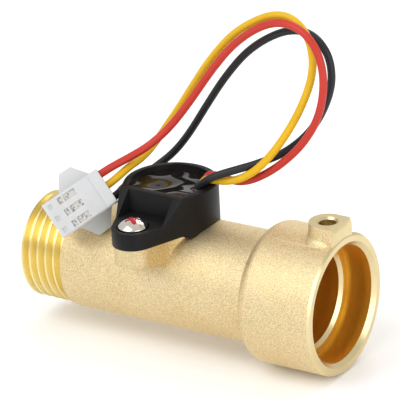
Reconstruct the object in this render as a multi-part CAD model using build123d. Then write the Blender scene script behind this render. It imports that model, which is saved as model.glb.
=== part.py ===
from build123d import *
import os
from math import cos, pi, radians, sin, sqrt, tan

# Water flow sensor: a cast and machined brass body with a male pipe thread at its inlet and a wide
# socket at its outlet, a moulded sensor cup screwed on its top, and a turbine insert in its bore.
# Millimetres. The origin is the centre of the threaded end face, +X runs along the flow to the
# socket's mouth, +Z goes up through the sensor cup, and the cup's screw ear points to -Y.

# Waterway
INLET_BORE_R = 7.4
INLET_BORE_LENGTH = 11.5
INLET_BEVEL = 0.6
CHAMBER_R = 9.3
SOCKET_STEP = 1.9
SOCKET_BORE_DEPTH = 6.1
SOCKET_LEAD_IN = 0.8
STEP_BEVEL = 0.65

# Brass body, lengths along X
THREAD_LENGTH = 8.0
THREAD_CREST_R = 10.4
THREAD_LEAD_IN = 0.85
CAST_START_LENGTH = 2.4
TUBE_WALL = 1.56
CUP_TO_SHOULDER = 8.6
SHOULDER_LENGTH = 3.8
SHOULDER_INNER_FILLET = 2.5
SHOULDER_OUTER_FILLET = 5.5
SOCKET_LENGTH = 15.7
SOCKET_WALL = 2.37
SOCKET_RIM_BEVEL = 0.45

# Tapped boss on the socket, for the screw that locks a plug-in fitting
BOSS_R = 3.5
BOSS_HEIGHT = 2.73
BOSS_CENTRE_SETBACK = 3.2
BOSS_FLAT_SETBACK = 0.15
BOSS_BEVEL_DEPTH = 0.35
BOSS_BEVEL_HEIGHT = 1.0
BOSS_HOLE_R = 1.65
BOSS_SINK_R = 2.05
BOSS_DRAFT_DEG = 3.0
BOSS_FOOT_DEPTH = 1.6
BOSS_FLARE_REACH = 1.3
BOSS_FLARE_HEIGHT = 0.4
BOSS_FLARE_DEPTH = 1.1

# Turbine insert, from the inlet guide to the spring ring
RUNNING_GAP = 0.05
END_PLAY = 0.3
GUIDE_LENGTH = 9.0
RING_THICKNESS = 1.0
GUIDE_HUB_R = 5.0
GUIDE_HUB_ROUND = 3.0
GUIDE_HUB_STANDOUT = 3.4
GUIDE_NOSE_REACH = 3.0
GUIDE_NOSE_LENGTH = 4.5
GUIDE_NOSE_TIP_R = 1.2
GUIDE_NOSE_TIP_ROUND = 1.0
GUIDE_VANES = 6
VANE_THICKNESS = 0.9
VANE_TWIST_DEG = 32.0
VANE_ROOT = 0.4
IMPELLER_LENGTH = 9.0
IMPELLER_HUB_R = 5.2
IMPELLER_TIP_GAP = 0.6
IMPELLER_BLADES = 5
BLADE_SETBACK = 0.3
BLADE_THICKNESS = 1.0
BLADE_TWIST_DEG = -52.0
MAGNET_OUTER_R = 4.4
MAGNET_INNER_R = 2.7
MAGNET_LENGTH = 5.4
MAGNET_POCKET_DEPTH = 6.2
SHAFT_R = 1.0
SHAFT_GRIP = 3.0
BUSH_WALL = 0.85
BUSH_LENGTH = 2.6
BUSH_FLANGE_WIDTH = 0.6
BUSH_FLANGE = 0.5
BRACKET_HUB_R = 3.0
BRACKET_HUB_ROUND = 2.4
BRACKET_ARMS = 3
BRACKET_ARM_WIDTH = 1.4
BRACKET_LENGTH = 5.0
BRACKET_HUB_LENGTH = 6.5
BRACKET_RING_SETBACK = 1.5
CLIP_THICKNESS = 1.0
CLIP_GROOVE_DEPTH = 0.55
CLIP_WIDTH = 1.1
CLIP_OPENING_DEG = 46.0
CLIP_EAR_R = 1.25
CLIP_EAR_HOLE_R = 0.55
CLIP_EAR_INSET = 0.2
CLIP_EAR_TURN_DEG = 3.0

# Sensor cup, centred over the rotor's magnet
CUP_AHEAD = 0.1
CUP_R = 9.0
CUP_HEIGHT = 7.47
CUP_WALL = 1.35
CUP_FLOOR_THICKNESS = 1.09
CUP_SKIRT_DEPTH = 0.86
SKIRT_REACH = 5.6
EAR_Y = -13.5
EAR_R = 4.05
EAR_THICKNESS = 3.24
SEAT_BELOW_TUBE_TOP = 0.1
SADDLE_GAP = 0.04
POCKET_BACK_Y = -7.0
POCKET_HALF_WIDTH = 4.95
RIB_FOOT_Y = -11.2
CUP_EDGE_ROUND = 0.35
SCREW_RECESS_DEPTH = 0.45
SCREW_RECESS_PLAY = 0.3

# Brass lug under the ear
LUG_INSET = 0.3
LUG_TIP_HEIGHT = 3.76
LUG_ROOT_HEIGHT = 5.46
LUG_ROOT_Y = -9.4
LUG_WAIST = 4.2
LUG_WAIST_Y = -10.4
LUG_FLARE = 6.6
LUG_FLARE_Y = -4.0
LUG_FLARE_BULGE = (0.7, 3.1)
LUG_FLOOR_ALLOWANCE = 2.0
LUG_EDGE_ROUND = 0.4

# Screw, M3
SCREW_R = 1.5
SCREW_LENGTH = 6.0
SCREW_HEAD_R = 2.8
SCREW_HEAD_HEIGHT = 2.1
SCREW_HEAD_RIM = 0.7
SCREW_CROSS_LENGTH = 2.9
SCREW_CROSS_WIDTH = 0.7
SCREW_CROSS_DEPTH = 1.1
SCREW_HOLE_PLAY = 0.2

# Small play of pieces that are pushed or moulded together
FIT = 0.02

# Resin and board
POTTING_DROP = 0.95
BOARD_SIZE_X = 11.0
BOARD_SIZE_Y = 9.0
BOARD_THICKNESS = 0.8
BOARD_NOTCH_R = 1.6
BOARD_Y = -0.4
HALL_SIZE = (4.1, 3.0, 1.45)
HALL_LIFT = 0.3
CAPACITOR_SIZE = (2.0, 1.25, 0.9)
RESISTOR_SIZE = (1.6, 0.8, 0.5)
CAPACITOR_PLACE = (-3.2, 2.0)
RESISTOR_PLACE = (-3.4, -1.6)

# Leads
WIRE_R = 0.75
WIRE_BEND_SHARE = 0.45

# Connector: its frame stands at the middle of the window face
PITCH = 2.5
CONNECTOR_PLACE = (16.46, -11.93, 15.63)
CONNECTOR_ALONG = (0.6077, 0.6389, 0.4717)
CONNECTOR_OUT = (0.503, -0.7693, 0.394)
CONNECTOR_LENGTH = 12.3
CONNECTOR_WIDTH = 7.4
CONNECTOR_THICKNESS = 5.75
CONNECTOR_BEVEL = 0.3
FLANGE_LENGTH = 2.1
FLANGE_RISE = 0.35
CAVITY = 1.75
WINDOW_WIDTH = 1.3
WINDOW_LENGTH = 2.6
WINDOW_SETBACK = 4.2
LATCH_WINDOW_SETBACK = 3.0
LATCH_WINDOW_LENGTH = 0.9
WING_REACH = 3.2
WING_THICKNESS = 0.8
WING_ROOT = 0.5
WING_BASE = (-2.8, 5.0)
WING_TIP = (-0.4, 2.2)
CONTACT_LENGTH = 6.6
CONTACT_WIDTH = 1.5
CONTACT_WALL = 0.2
CONTACT_SETBACK = 1.0
CRIMP_LENGTH = 2.2
CRIMP_SQUEEZE = 0.05

TUBE_R = CHAMBER_R + TUBE_WALL
SOCKET_BORE_R = CHAMBER_R + SOCKET_STEP
SOCKET_R = SOCKET_BORE_R + SOCKET_WALL
GUIDE_HUB_END = INLET_BORE_LENGTH + GUIDE_LENGTH + GUIDE_HUB_STANDOUT
IMPELLER_X = GUIDE_HUB_END + END_PLAY + BUSH_FLANGE
IMPELLER_END = IMPELLER_X + IMPELLER_LENGTH
IMPELLER_TIP_R = CHAMBER_R - IMPELLER_TIP_GAP
BRACKET_HUB_START = IMPELLER_END + BUSH_FLANGE + END_PLAY
BRACKET_RING_START = BRACKET_HUB_START + BRACKET_RING_SETBACK
CLIP_X = BRACKET_RING_START + BRACKET_LENGTH
CLIP_GROOVE_R = CHAMBER_R + CLIP_GROOVE_DEPTH
CLIP_OUTER_R = CLIP_GROOVE_R - RUNNING_GAP
CLIP_INNER_R = CLIP_OUTER_R - CLIP_WIDTH
BUSH_INNER_R = SHAFT_R + RUNNING_GAP
BUSH_OUTER_R = BUSH_INNER_R + BUSH_WALL
BUSH_FLANGE_R = BUSH_OUTER_R + BUSH_FLANGE_WIDTH
CUP_X = IMPELLER_X + IMPELLER_LENGTH / 2 + CUP_AHEAD
SHOULDER_START = CUP_X + CUP_R + CUP_TO_SHOULDER
SOCKET_START = SHOULDER_START + SHOULDER_LENGTH
BODY_LENGTH = SOCKET_START + SOCKET_LENGTH
SOCKET_BORE_START = BODY_LENGTH - SOCKET_BORE_DEPTH
BOSS_X = BODY_LENGTH - BOSS_CENTRE_SETBACK
BOSS_TOP_Z = SOCKET_R + BOSS_HEIGHT
SEAT_Z = TUBE_R - SEAT_BELOW_TUBE_TOP
SKIRT_Z = SEAT_Z - CUP_SKIRT_DEPTH
EAR_TOP_Z = SEAT_Z + EAR_THICKNESS
CUP_RIM_Z = SEAT_Z + CUP_HEIGHT
CUP_FLOOR_Z = TUBE_R + CUP_FLOOR_THICKNESS
POTTING_Z = CUP_RIM_Z - POTTING_DROP
BOARD_Z = CUP_FLOOR_Z + HALL_LIFT + HALL_SIZE[2]
LUG_R = EAR_R - LUG_INSET
LUG_TIP_Z = SEAT_Z - LUG_TIP_HEIGHT
LUG_ROOT_Z = SEAT_Z - LUG_ROOT_HEIGHT
LUG_LOW_Z = LUG_ROOT_Z - LUG_FLOOR_ALLOWANCE
SCREW_RECESS_R = SCREW_HEAD_R + SCREW_RECESS_PLAY
WIRE_DEPTH = CONNECTOR_THICKNESS / 2
CONNECTOR_TIP = -CONNECTOR_LENGTH / 2
CONTACT_START = CONNECTOR_TIP + CONTACT_SETBACK
CONTACT_END = CONTACT_START + CONTACT_LENGTH
WINDOW_X = CONNECTOR_TIP + WINDOW_SETBACK + WINDOW_LENGTH / 2
LATCH_X = CONNECTOR_TIP + LATCH_WINDOW_SETBACK + LATCH_WINDOW_LENGTH / 2

# Each lead from its contact to its solder joint. The points were chosen by eye along the photographed loop.
ROUTES = {
    "wire_red": [
        (15.7, -7.38, 18.19), (17.46, -5.53, 19.56), (18.9, -3.9, 20.6), (20.9, -0.8, 21.7),
        (23.2, 2.6, 23.2), (26.3, 5.4, 26.5), (30.2, 6.9, 32.0), (34.7, 7.3, 38.5),
        (39.9, 7.2, 44.7), (46.3, 6.7, 49.5), (51.7, 6.1, 51.3), (56.3, 5.6, 50.3),
        (59.5, 5.2, 46.8), (60.7, 4.9, 41.4), (59.5, 4.7, 34.6), (55.9, 4.75, 28.6),
        (51.2, 4.8, 23.8), (46.8, 4.7, 20.5), (43.0, 4.0, 18.75), (40.0, 3.5, 18.9),
        (37.8, 3.35, 19.4), (35.7, 3.55, 19.25), (34.2, 3.8, 17.4), (32.8, 3.9, 15.2),
    ],
    "wire_yellow": [
        (17.23, -7.39, 16.22), (18.99, -5.53, 17.59), (20.1, -3.8, 18.8), (20.7, -0.8, 19.8),
        (21.0, 3.0, 20.1), (21.5, 6.4, 21.5), (22.8, 8.5, 24.3), (25.2, 9.5, 28.0),
        (28.8, 9.7, 33.5), (33.4, 9.5, 40.1), (39.1, 9.1, 46.3), (45.7, 8.6, 50.5),
        (50.3, 8.25, 51.8), (53.9, 7.8, 50.9), (56.7, 7.3, 47.6), (57.4, 6.7, 42.0),
        (54.9, 5.9, 34.8), (51.1, 4.8, 28.0), (47.4, 3.2, 23.0), (43.8, 2.4, 20.3),
        (40.6, 1.95, 19.25), (38.0, 1.75, 19.15), (35.9, 1.95, 19.0), (34.4, 2.2, 17.15),
        (33.0, 2.3, 15.05),
    ],
    "wire_black": [
        (18.77, -7.39, 14.25), (20.86, -5.19, 15.87), (19.4, -1.9, 15.5), (18.8, 1.6, 14.7),
        (19.0, 5.2, 14.9), (20.7, 8.6, 16.4), (23.4, 10.7, 18.9), (26.7, 11.3, 23.2),
        (30.6, 11.3, 29.2), (35.4, 11.1, 36.2), (41.2, 10.6, 42.8), (48.3, 10.0, 47.5),
        (53.6, 9.5, 48.9), (57.4, 9.0, 47.7), (60.1, 8.5, 44.2), (60.4, 7.9, 38.6),
        (56.8, 7.4, 30.9), (51.1, 7.0, 25.3), (45.9, 4.7, 22.8), (42.1, 2.2, 21.7),
        (39.4, 0.7, 20.8), (37.2, 0.25, 19.65), (35.4, 0.3, 17.95), (33.9, 0.45, 16.3),
        (32.8, 0.5, 14.95),
    ],
}


def ring(outer_r, inner_r, start, length):
    """A plain ring on the X axis."""
    outer = Solid.make_cylinder(outer_r, length, Plane((start, 0, 0), z_dir=(1, 0, 0)))
    inner = Solid.make_cylinder(inner_r, length, Plane((start, 0, 0), z_dir=(1, 0, 0)))
    return outer - inner


def rod(radius, start, length):
    """A plain cylinder on the X axis."""
    return Solid.make_cylinder(radius, length, Plane((start, 0, 0), z_dir=(1, 0, 0)))


def upright(radius, x, y, z, height):
    """A plain cylinder along Z."""
    return Solid.make_cylinder(radius, height, Plane((x, y, z)))


def block(size_x, size_y, size_z, x, y, z):
    """A box centred at x and y that stands on z."""
    return Pos(x, y, z) * Box(size_x, size_y, size_z, align=(Align.CENTER, Align.CENTER, Align.MIN))


def turned(points, fillets=None):
    """A solid turned about the X axis from its half section, with fillets at chosen corners."""
    section = make_face(Polyline(*points, close=True))
    for (x, r), radius in (fillets or {}).items():
        corner = section.vertices().sort_by_distance((x, r, 0))[0]
        section = fillet(corner, radius)
    return revolve(section, Axis.X)


def vanes(count, thickness, root_r, tip_r, start, length, twist):
    """Blades that stand on a hub and turn by twist degrees along their length."""
    reach = tip_r - root_r
    blades = []
    plane = Plane((start, 0, 0), x_dir=(0, 1, 0), z_dir=(1, 0, 0))
    for index in range(count):
        outline = Pos(root_r + reach / 2, 0) * Rectangle(reach, thickness)
        section = (plane * (Rot(0, 0, index * 360 / count) * outline)).face()
        blades.append(Solid.extrude_linear_with_rotation(section, (start, 0, 0), (length, 0, 0), twist))
    return blades


def teardrop(ear_r, cup_r):
    """Plan of the cup and its ear, with the straight sides that touch both."""
    span = -EAR_Y
    lean = (cup_r - ear_r) / span
    rise = sqrt(1 - lean * lean)
    ear_side = (CUP_X + ear_r * rise, EAR_Y - ear_r * lean)
    cup_side = (CUP_X + cup_r * rise, -cup_r * lean)
    ear_left = (2 * CUP_X - ear_side[0], ear_side[1])
    cup_left = (2 * CUP_X - cup_side[0], cup_side[1])
    outline = Curve() + [
        Line(ear_side, cup_side),
        ThreePointArc(cup_side, (CUP_X, cup_r), cup_left),
        Line(cup_left, ear_left),
        ThreePointArc(ear_left, (CUP_X, EAR_Y - ear_r), ear_side),
    ]
    return make_face(outline)


def body_of_revolution():
    """The casting's turned outside and its stepped waterway."""
    cast_start = THREAD_LENGTH + CAST_START_LENGTH
    outside = turned(
        [
            (0, 0), (0, THREAD_CREST_R - THREAD_LEAD_IN), (THREAD_LEAD_IN, THREAD_CREST_R),
            (THREAD_LENGTH, THREAD_CREST_R), (cast_start, TUBE_R), (SHOULDER_START, TUBE_R),
            (SOCKET_START, SOCKET_R), (BODY_LENGTH - SOCKET_RIM_BEVEL, SOCKET_R),
            (BODY_LENGTH, SOCKET_R - SOCKET_RIM_BEVEL), (BODY_LENGTH, 0),
        ],
        {(SHOULDER_START, TUBE_R): SHOULDER_INNER_FILLET, (SOCKET_START, SOCKET_R): SHOULDER_OUTER_FILLET},
    )
    step_end = SOCKET_BORE_START - STEP_BEVEL
    waterway = turned(
        [
            (0, 0), (0, INLET_BORE_R + INLET_BEVEL), (INLET_BEVEL, INLET_BORE_R),
            (INLET_BORE_LENGTH, INLET_BORE_R), (INLET_BORE_LENGTH, CHAMBER_R), (step_end, CHAMBER_R),
            (SOCKET_BORE_START, CHAMBER_R + STEP_BEVEL), (SOCKET_BORE_START, SOCKET_BORE_R),
            (BODY_LENGTH - SOCKET_LEAD_IN, SOCKET_BORE_R),
            (BODY_LENGTH, SOCKET_BORE_R + SOCKET_LEAD_IN), (BODY_LENGTH, 0),
        ]
    )
    groove = ring(CLIP_GROOVE_R, INLET_BORE_R, CLIP_X, CLIP_THICKNESS)
    return outside, waterway + groove


def screw_lug():
    """Lug on the tube's flank that carries the cup's ear. Its underside slopes down to the tube."""
    bulge, bulge_back = LUG_FLARE_BULGE
    bulge_y = LUG_WAIST_Y + bulge_back
    bulge_x = LUG_WAIST + bulge
    outline = Curve() + [
        ThreePointArc((CUP_X - LUG_R, EAR_Y), (CUP_X, EAR_Y - LUG_R), (CUP_X + LUG_R, EAR_Y)),
        Line((CUP_X + LUG_R, EAR_Y), (CUP_X + LUG_WAIST, LUG_WAIST_Y)),
        ThreePointArc(
            (CUP_X + LUG_WAIST, LUG_WAIST_Y), (CUP_X + bulge_x, bulge_y), (CUP_X + LUG_FLARE, LUG_FLARE_Y),
        ),
        Line((CUP_X + LUG_FLARE, LUG_FLARE_Y), (CUP_X - LUG_FLARE, LUG_FLARE_Y)),
        ThreePointArc(
            (CUP_X - LUG_FLARE, LUG_FLARE_Y), (CUP_X - bulge_x, bulge_y), (CUP_X - LUG_WAIST, LUG_WAIST_Y),
        ),
        Line((CUP_X - LUG_WAIST, LUG_WAIST_Y), (CUP_X - LUG_R, EAR_Y)),
    ]
    lug = extrude(Pos(0, 0, LUG_LOW_Z) * make_face(outline), SEAT_Z - LUG_LOW_Z)
    tip_y = EAR_Y - LUG_R
    slope = (LUG_TIP_Z - LUG_ROOT_Z) / (LUG_ROOT_Y - tip_y)
    near_y = tip_y - LUG_R
    far_y = LUG_ROOT_Y + 2 * LUG_R
    below = make_face(Polyline(
        (near_y, LUG_LOW_Z - LUG_R), (near_y, LUG_TIP_Z + LUG_R * slope),
        (far_y, LUG_ROOT_Z - 2 * LUG_R * slope), (far_y, LUG_LOW_Z - LUG_R), close=True,
    ))
    sheet = Plane((CUP_X - 2 * CUP_R, 0, 0), x_dir=(0, 1, 0), z_dir=(1, 0, 0)) * below
    lug = lug - extrude(sheet, 4 * CUP_R, dir=(1, 0, 0))
    reach = SKIRT_REACH + SADDLE_GAP
    lug = lug - block(4 * CUP_R, 2 * reach, SEAT_Z, CUP_X, 0, SKIRT_Z - SADDLE_GAP)
    under_edge = lug.faces().sort_by(Axis.Z)[0].edges().filter_by(GeomType.LINE, reverse=True)
    return fillet(under_edge, LUG_EDGE_ROUND)


def socket_boss():
    """Cast boss on the socket: round, with a bevelled flat towards the mouth and a flared foot."""
    foot_z = SOCKET_R - BOSS_FOOT_DEPTH
    height = BOSS_TOP_Z - foot_z
    foot_r = BOSS_R + height * tan(radians(BOSS_DRAFT_DEG))
    boss = Solid.make_cone(foot_r, BOSS_R, height, Plane((BOSS_X, 0, foot_z)))
    flare_z = SOCKET_R - BOSS_FLARE_DEPTH
    flare = Solid.make_cone(
        BOSS_R + BOSS_FLARE_REACH, BOSS_R, BOSS_FLARE_DEPTH + BOSS_FLARE_HEIGHT, Plane((BOSS_X, 0, flare_z)),
    )
    flat_x = BODY_LENGTH - BOSS_FLAT_SETBACK
    far_x = flat_x + 2 * BOSS_R
    front = make_face(Polyline(
        (flat_x, foot_z - BOSS_R),
        (flat_x, BOSS_TOP_Z - BOSS_BEVEL_HEIGHT),
        (flat_x - BOSS_BEVEL_DEPTH, BOSS_TOP_Z),
        (flat_x - BOSS_BEVEL_DEPTH, BOSS_TOP_Z + BOSS_R),
        (far_x, BOSS_TOP_Z + BOSS_R),
        (far_x, foot_z - BOSS_R),
        close=True,
    ))
    sheet = Plane((0, 2 * BOSS_R, 0), x_dir=(1, 0, 0), z_dir=(0, -1, 0)) * front
    return boss + flare - extrude(sheet, 4 * BOSS_R, dir=(0, -1, 0))


def boss_hole():
    """Countersunk tapped hole, through to the socket's bore."""
    sink = BOSS_SINK_R - BOSS_HOLE_R
    drill = upright(BOSS_HOLE_R, BOSS_X, 0, CHAMBER_R, BOSS_TOP_Z - CHAMBER_R)
    cone = Solid.make_cone(BOSS_HOLE_R, BOSS_SINK_R, sink, Plane((BOSS_X, 0, BOSS_TOP_Z - sink)))
    return drill + cone


def brass_body():
    outside, waterway = body_of_revolution()
    body = outside + screw_lug() + socket_boss()
    body = body - waterway - boss_hole()
    tapping = upright(SCREW_R, CUP_X, EAR_Y, LUG_LOW_Z, SEAT_Z)
    return body - tapping


def sensor_housing():
    """Cup with a screw ear, a pocket over the ear and a rib with a sloping top on each side of it."""
    height = CUP_RIM_Z - SEAT_Z
    shell = extrude(Pos(0, 0, SEAT_Z) * teardrop(EAR_R, CUP_R), height)
    skirt = extrude(Pos(0, 0, SKIRT_Z) * teardrop(EAR_R, CUP_R), SEAT_Z - SKIRT_Z)
    skirt = skirt & block(4 * CUP_R, 2 * SKIRT_REACH, 2 * height, CUP_X, 0, 0)
    shell = shell + skirt
    far_y = EAR_Y - 2 * EAR_R
    above = make_face(Polyline(
        (POCKET_BACK_Y, CUP_RIM_Z + 1), (POCKET_BACK_Y, CUP_RIM_Z), (RIB_FOOT_Y, EAR_TOP_Z),
        (far_y, EAR_TOP_Z), (far_y, CUP_RIM_Z + 1), close=True,
    ))
    sheet = Plane((CUP_X - 2 * CUP_R, 0, 0), x_dir=(0, 1, 0), z_dir=(1, 0, 0)) * above
    shell = shell - extrude(sheet, 4 * CUP_R, dir=(1, 0, 0))
    pocket_length = POCKET_BACK_Y - far_y
    pocket = block(
        2 * POCKET_HALF_WIDTH, pocket_length, height, CUP_X, POCKET_BACK_Y - pocket_length / 2, EAR_TOP_Z,
    )
    shell = shell - pocket
    top_edges = shell.faces().filter_by(Axis.Z).sort_by(Axis.Z)[-1].outer_wire().edges()
    shell = fillet(top_edges.filter_by(GeomType.CIRCLE), CUP_EDGE_ROUND)
    shell = shell - cup_cavity(CUP_FLOOR_Z, CUP_RIM_Z + 1)
    shell = shell - rod(TUBE_R + SADDLE_GAP, 0, SHOULDER_START)
    shell = shell - upright(SCREW_R + SCREW_HOLE_PLAY, CUP_X, EAR_Y, SEAT_Z, height)
    shell = shell - upright(SCREW_RECESS_R, CUP_X, EAR_Y, EAR_TOP_Z - SCREW_RECESS_DEPTH, height)
    return shell


def cup_cavity(low, high):
    """Inside of the cup, between two heights."""
    plan = teardrop(EAR_R - CUP_WALL, CUP_R - CUP_WALL)
    inside = extrude(Pos(0, 0, low) * plan, high - low)
    front = POCKET_BACK_Y + CUP_WALL
    reach = 2 * CUP_R
    return inside & block(4 * CUP_R, reach, 2 * high, CUP_X, front + reach / 2, 0)


def mounting_screw():
    """M3 pan head screw with a cross recess. Its head sits in the ear's shallow recess."""
    seat = EAR_TOP_Z - SCREW_RECESS_DEPTH
    shank = upright(SCREW_R - FIT, CUP_X, EAR_Y, seat - SCREW_LENGTH, SCREW_LENGTH)
    rim = upright(SCREW_HEAD_R, CUP_X, EAR_Y, seat, SCREW_HEAD_RIM)
    dome_height = SCREW_HEAD_HEIGHT - SCREW_HEAD_RIM
    dome_r = (SCREW_HEAD_R ** 2 + dome_height ** 2) / (2 * dome_height)
    ball = Pos(CUP_X, EAR_Y, seat + SCREW_HEAD_HEIGHT - dome_r) * Sphere(dome_r)
    above = block(4 * SCREW_HEAD_R, 4 * SCREW_HEAD_R, dome_height + 1, CUP_X, EAR_Y, seat + SCREW_HEAD_RIM)
    head = rim + (ball & above)
    cross_z = seat + SCREW_HEAD_HEIGHT - SCREW_CROSS_DEPTH
    for angle in (45, 135):
        slot = Rot(0, 0, angle) * Box(SCREW_CROSS_LENGTH, SCREW_CROSS_WIDTH, 2 * SCREW_CROSS_DEPTH)
        head = head - Pos(CUP_X, EAR_Y, cross_z + SCREW_CROSS_DEPTH) * slot
    return shank + head


def board_parts():
    """Circuit board with the hall sensor below it, and a capacitor and a resistor on it."""
    board = block(BOARD_SIZE_X, BOARD_SIZE_Y, BOARD_THICKNESS, CUP_X, BOARD_Y, BOARD_Z)
    for corner_x in (-1, 1):
        notch = upright(
            BOARD_NOTCH_R, CUP_X + corner_x * BOARD_SIZE_X / 2, BOARD_Y + BOARD_SIZE_Y / 2,
            BOARD_Z, BOARD_THICKNESS,
        )
        board = board - notch
    hall = block(*HALL_SIZE, CUP_X, BOARD_Y, BOARD_Z - HALL_SIZE[2])
    top = BOARD_Z + BOARD_THICKNESS
    cap_x, cap_y = CAPACITOR_PLACE
    res_x, res_y = RESISTOR_PLACE
    capacitor = block(*CAPACITOR_SIZE, CUP_X + cap_x, BOARD_Y + cap_y, top)
    resistor = block(*RESISTOR_SIZE, CUP_X + res_x, BOARD_Y + res_y, top)
    return {"circuit_board": board, "hall_sensor": hall, "capacitor": capacitor, "resistor": resistor}


def wire(name):
    """Round lead along straight runs joined by arcs as large as the runs allow."""
    points = [Vector(*point) for point in ROUTES[name]]
    runs = [points[i + 1] - points[i] for i in range(len(points) - 1)]
    radii = []
    for before, after in zip(runs, runs[1:]):
        turn = radians(before.get_angle(after))
        radii.append(WIRE_BEND_SHARE * min(before.length, after.length) / tan(turn / 2))
    path = FilletPolyline(*points, radius=radii)
    profile = Plane(points[0], z_dir=runs[0]) * Circle(WIRE_R)
    lead = sweep(profile, path=path)
    drift = lead.volume / (path.length * pi * WIRE_R ** 2) - 1
    print(
        name, "length", round(path.length, 1), "least radius", round(min(radii), 1), "drift", round(drift, 4),
    )
    return lead


def potting(pieces):
    """Resin around the board, its parts and the ends of the leads."""
    resin = cup_cavity(CUP_FLOOR_Z, POTTING_Z)
    for name in (
        "circuit_board", "hall_sensor", "capacitor", "resistor", "wire_red", "wire_yellow", "wire_black",
    ):
        resin = resin - pieces[name]
    return resin


def connector_plane():
    return Plane(CONNECTOR_PLACE, x_dir=CONNECTOR_ALONG, z_dir=CONNECTOR_OUT)


def contact_places():
    return [(index - 1) * PITCH for index in range(3)]


def connector_housing():
    """Nylon housing. In its own frame +X points to the leads, and the window face is at z = 0."""
    half = CONNECTOR_LENGTH / 2
    body = block(CONNECTOR_LENGTH, CONNECTOR_WIDTH, CONNECTOR_THICKNESS, 0, 0, -CONNECTOR_THICKNESS)
    flange = block(
        FLANGE_LENGTH, CONNECTOR_WIDTH, CONNECTOR_THICKNESS + 2 * FLANGE_RISE,
        half - FLANGE_LENGTH / 2, 0, -CONNECTOR_THICKNESS - FLANGE_RISE,
    )
    body = chamfer(body.edges().filter_by(Axis.X), CONNECTOR_BEVEL)
    body = body + chamfer(flange.edges().filter_by(Axis.X), CONNECTOR_BEVEL)
    for side in (-1, 1):
        base_y = side * (CONNECTOR_WIDTH / 2 - WING_ROOT)
        tip_y = side * (CONNECTOR_WIDTH / 2 + WING_REACH)
        wing = make_face(Polyline(
            (WING_BASE[0], base_y), (WING_TIP[0], tip_y), (WING_TIP[1], tip_y), (WING_BASE[1], base_y),
            close=True,
        ))
        body = body + extrude(Pos(0, 0, -CONNECTOR_THICKNESS) * wing, WING_THICKNESS)
    for y in contact_places():
        cavity = Pos(0, y, -WIRE_DEPTH) * Box(CONNECTOR_LENGTH, CAVITY, CAVITY)
        window = block(WINDOW_LENGTH, WINDOW_WIDTH, WIRE_DEPTH, WINDOW_X, y, -WIRE_DEPTH)
        latch = block(LATCH_WINDOW_LENGTH, WINDOW_WIDTH, WIRE_DEPTH, LATCH_X, y, -WIRE_DEPTH)
        body = body - cavity - window - latch
    return connector_plane() * body


def contact(y):
    """Crimp contact: a folded box that takes the pin, and a barrel that grips the lead."""
    middle = (CONTACT_START + CONTACT_END) / 2
    opening = CONTACT_WIDTH - 2 * CONTACT_WALL
    outer = Pos(middle, y, -WIRE_DEPTH) * Box(CONTACT_LENGTH, CONTACT_WIDTH, CONTACT_WIDTH)
    inner = Pos(middle, y, -WIRE_DEPTH) * Box(CONTACT_LENGTH, opening, opening)
    barrel_plane = Plane((CONTACT_END, y, -WIRE_DEPTH), z_dir=(1, 0, 0))
    barrel = Solid.make_cylinder(WIRE_R - CRIMP_SQUEEZE, CRIMP_LENGTH, barrel_plane)
    end_wall = Pos(CONTACT_END - CONTACT_WALL, y, -WIRE_DEPTH) * Box(
        2 * CONTACT_WALL, CONTACT_WIDTH, CONTACT_WIDTH,
    )
    return connector_plane() * ((outer - inner) + end_wall + barrel)


def inlet_guide():
    """Ring with a nose cone and curved vanes, which gives the flow its spin."""
    guide_end = INLET_BORE_LENGTH + GUIDE_LENGTH
    rim = ring(CHAMBER_R - FIT, CHAMBER_R - RING_THICKNESS, INLET_BORE_LENGTH, GUIDE_LENGTH)
    nose_tip = INLET_BORE_LENGTH - GUIDE_NOSE_REACH
    cone_end = nose_tip + GUIDE_NOSE_LENGTH
    hub = turned(
        [
            (nose_tip, 0), (nose_tip, GUIDE_NOSE_TIP_R), (cone_end, GUIDE_HUB_R),
            (GUIDE_HUB_END, GUIDE_HUB_R), (GUIDE_HUB_END, 0),
        ],
        {(nose_tip, GUIDE_NOSE_TIP_R): GUIDE_NOSE_TIP_ROUND, (cone_end, GUIDE_HUB_R): GUIDE_HUB_ROUND},
    )
    guide = rim + hub
    root_r = GUIDE_HUB_R - VANE_ROOT
    tip_r = CHAMBER_R - RING_THICKNESS + VANE_ROOT
    length = guide_end - cone_end
    for vane in vanes(GUIDE_VANES, VANE_THICKNESS, root_r, tip_r, cone_end, length, VANE_TWIST_DEG):
        guide = guide + vane
    return guide - rod(SHAFT_R + FIT, GUIDE_HUB_END - SHAFT_GRIP, SHAFT_GRIP)


def impeller():
    """Rotor with helical blades and a pocket for its magnet."""
    body = rod(IMPELLER_HUB_R, IMPELLER_X, IMPELLER_LENGTH)
    root_r = IMPELLER_HUB_R - VANE_ROOT
    start = IMPELLER_X + BLADE_SETBACK
    length = IMPELLER_LENGTH - 2 * BLADE_SETBACK
    for blade in vanes(
        IMPELLER_BLADES, BLADE_THICKNESS, root_r, IMPELLER_TIP_R, start, length, BLADE_TWIST_DEG,
    ):
        body = body + blade
    body = body - rod(BUSH_OUTER_R, IMPELLER_X, IMPELLER_LENGTH)
    pocket = ring(MAGNET_OUTER_R, MAGNET_INNER_R, IMPELLER_END - MAGNET_POCKET_DEPTH, MAGNET_POCKET_DEPTH)
    return body - pocket


def rotor_magnet():
    return ring(MAGNET_OUTER_R - FIT, MAGNET_INNER_R + FIT, IMPELLER_END - MAGNET_POCKET_DEPTH, MAGNET_LENGTH)


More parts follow.
